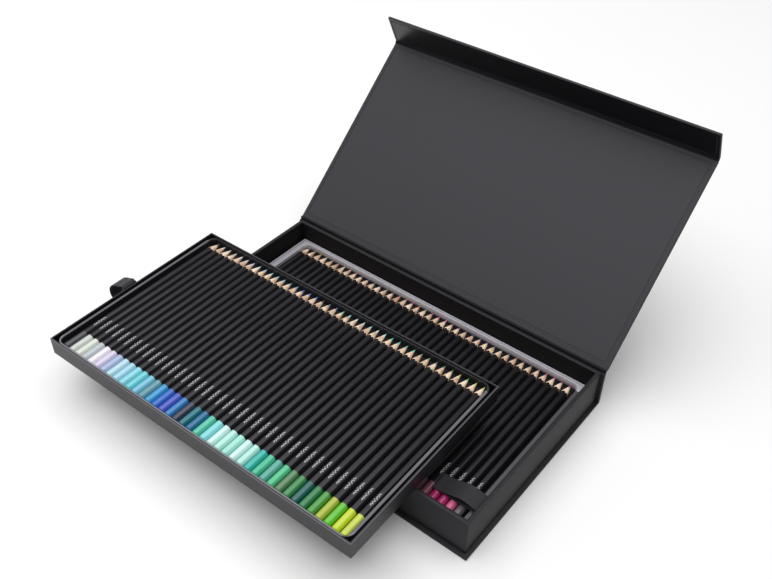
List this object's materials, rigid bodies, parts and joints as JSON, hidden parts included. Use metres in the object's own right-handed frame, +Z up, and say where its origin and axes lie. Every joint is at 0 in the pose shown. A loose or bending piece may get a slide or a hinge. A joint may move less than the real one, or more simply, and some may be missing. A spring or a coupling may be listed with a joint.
{
  "type": "pencil presentation box",
  "caption": "Rigid book-style gift box with a hinged lid and folding front flap, holding two trays of sharpened hexagonal colour pencils with ribbon lift loops.",
  "frame": {"origin": "middle of the case's underside, measured on the four walls, on the table", "axes": "+Z up, +X to the right along the hinge, +Y from the front wall towards the hinge"},
  "size_m": [0.3919, 0.4191, 0.1988],
  "materials": {
    "case_wrap": "matt black paper wrap on board",
    "cover_wrap": "matt black paper wrap on board",
    "case_paper": "matt black lining paper",
    "cover_paper": "matt dark grey lining paper",
    "crease_paper": "folded black wrap paper",
    "keeper_steel": "plain sheet steel",
    "magnet_nickel": "plated magnet",
    "tray_card": "black card",
    "tray_form": "flocked or satin black formed sheet",
    "ribbon": "charcoal grosgrain ribbon",
    "lacquer": "matt black lacquer on wood",
    "bare_wood": "freshly cut pale wood",
    "leads_upper_1": "waxy coloured lead, one colour to a pencil",
    "dips_upper_1": "gloss coloured lacquer, one colour to a pencil",
    "leads_upper_2": "waxy coloured lead, one colour to a pencil",
    "dips_upper_2": "gloss coloured lacquer, one colour to a pencil",
    "leads_upper_3": "waxy coloured lead, one colour to a pencil",
    "dips_upper_3": "gloss coloured lacquer, one colour to a pencil",
    "leads_upper_4": "waxy coloured lead, one colour to a pencil",
    "dips_upper_4": "gloss coloured lacquer, one colour to a pencil",
    "leads_lower_1": "waxy coloured lead, one colour to a pencil",
    "dips_lower_1": "gloss coloured lacquer, one colour to a pencil",
    "leads_lower_2": "waxy coloured lead, one colour to a pencil",
    "dips_lower_2": "gloss coloured lacquer, one colour to a pencil",
    "leads_lower_3": "waxy coloured lead, one colour to a pencil",
    "dips_lower_3": "gloss coloured lacquer, one colour to a pencil",
    "leads_lower_4": "waxy coloured lead, one colour to a pencil",
    "dips_lower_4": "gloss coloured lacquer, one colour to a pencil"
  },
  "bodies": {
    "case": {"bottom_board": "case_wrap", "spine_board": "case_wrap", "wall_front": "case_wrap", "wall_back": "case_wrap", "wall_left": "case_wrap", "wall_right": "case_wrap", "case_lining": "case_paper", "keeper_plates": "keeper_steel", "lid_crease": "crease_paper"},
    "lid": {"lid_board": "cover_wrap", "lid_lining": "cover_paper", "flap_crease": "crease_paper"},
    "flap": {"flap_board": "cover_wrap", "flap_lining": "cover_paper", "flap_magnets": "magnet_nickel"},
    "upper_tray": {"upper_card": "tray_card", "upper_form": "tray_form", "upper_ribbon_tail": "ribbon"},
    "upper_loop": {"upper_ribbon": "ribbon"},
    "lower_tray": {"lower_card": "tray_card", "lower_form": "tray_form", "lower_ribbon_tail": "ribbon", "lower_barrels_4": "lacquer", "lower_cones_4": "bare_wood", "lower_leads_4": "leads_lower_4", "lower_dips_4": "dips_lower_4"},
    "lower_loop": {"lower_ribbon": "ribbon"},
    "upper_pencils_1": {"upper_barrels_1": "lacquer", "upper_cones_1": "bare_wood", "upper_leads_1": "leads_upper_1", "upper_dips_1": "dips_upper_1"},
    "upper_pencils_2": {"upper_barrels_2": "lacquer", "upper_cones_2": "bare_wood", "upper_leads_2": "leads_upper_2", "upper_dips_2": "dips_upper_2"},
    "upper_pencils_3": {"upper_barrels_3": "lacquer", "upper_cones_3": "bare_wood", "upper_leads_3": "leads_upper_3", "upper_dips_3": "dips_upper_3"},
    "upper_pencils_4": {"upper_barrels_4": "lacquer", "upper_cones_4": "bare_wood", "upper_leads_4": "leads_upper_4", "upper_dips_4": "dips_upper_4"},
    "lower_pencils_1": {"lower_barrels_1": "lacquer", "lower_cones_1": "bare_wood", "lower_leads_1": "leads_lower_1", "lower_dips_1": "dips_lower_1"},
    "lower_pencils_2": {"lower_barrels_2": "lacquer", "lower_cones_2": "bare_wood", "lower_leads_2": "leads_lower_2", "lower_dips_2": "dips_lower_2"},
    "lower_pencils_3": {"lower_barrels_3": "lacquer", "lower_cones_3": "bare_wood", "lower_leads_3": "leads_lower_3", "lower_dips_3": "dips_lower_3"}
  },
  "joints": [
    {"name": "lid_hinge", "type": "hinge", "parent": "case", "child": "lid", "pos_m": [0, 0.09845, 0.0373], "axis": [-1, 0, 0], "range_deg": [-122.4, 49.6]},
    {"name": "flap_fold", "type": "hinge", "parent": "lid", "child": "flap", "pos_m": [0, 0.24577, 0.16809], "axis": [1, 0, 0], "range_deg": [-73.3, 16.7]},
    {"name": "upper_tray_lift", "type": "slide", "parent": "case", "child": "upper_tray", "axis": [0, 0, 1], "range_m": [0, 0.06]},
    {"name": "upper_loop_swing", "type": "hinge", "parent": "upper_tray", "child": "upper_loop", "pos_m": [-0.19998, -0.08729, 0.05445], "axis": [-0.015, 0.9999, 0], "range_deg": [0, 80]},
    {"name": "lower_tray_lift", "type": "slide", "parent": "case", "child": "lower_tray", "axis": [0, 0, 1], "range_m": [0, 0.017]},
    {"name": "lower_loop_swing", "type": "hinge", "parent": "lower_tray", "child": "lower_loop", "pos_m": [0.1592, -0.064, 0.02005], "axis": [0, 1, 0], "range_deg": [0, 78]},
    {"name": "upper_pencils_1_lift", "type": "slide", "parent": "upper_tray", "child": "upper_pencils_1", "axis": [0, 0, 1], "range_m": [0, 0.03]},
    {"name": "upper_pencils_2_lift", "type": "slide", "parent": "upper_tray", "child": "upper_pencils_2", "axis": [0, 0, 1], "range_m": [0, 0.03]},
    {"name": "upper_pencils_3_lift", "type": "slide", "parent": "upper_tray", "child": "upper_pencils_3", "axis": [0, 0, 1], "range_m": [0, 0.03]},
    {"name": "upper_pencils_4_lift", "type": "slide", "parent": "upper_tray", "child": "upper_pencils_4", "axis": [0, 0, 1], "range_m": [0, 0.03]},
    {"name": "lower_pencils_1_lift", "type": "slide", "parent": "lower_tray", "child": "lower_pencils_1", "axis": [0, 0, 1], "range_m": [0, 0.0095]},
    {"name": "lower_pencils_2_lift", "type": "slide", "parent": "lower_tray", "child": "lower_pencils_2", "axis": [0, 0, 1], "range_m": [0, 0.0095]},
    {"name": "lower_pencils_3_lift", "type": "slide", "parent": "lower_tray", "child": "lower_pencils_3", "axis": [0, 0, 1], "range_m": [0, 0.0095]}
  ]
}
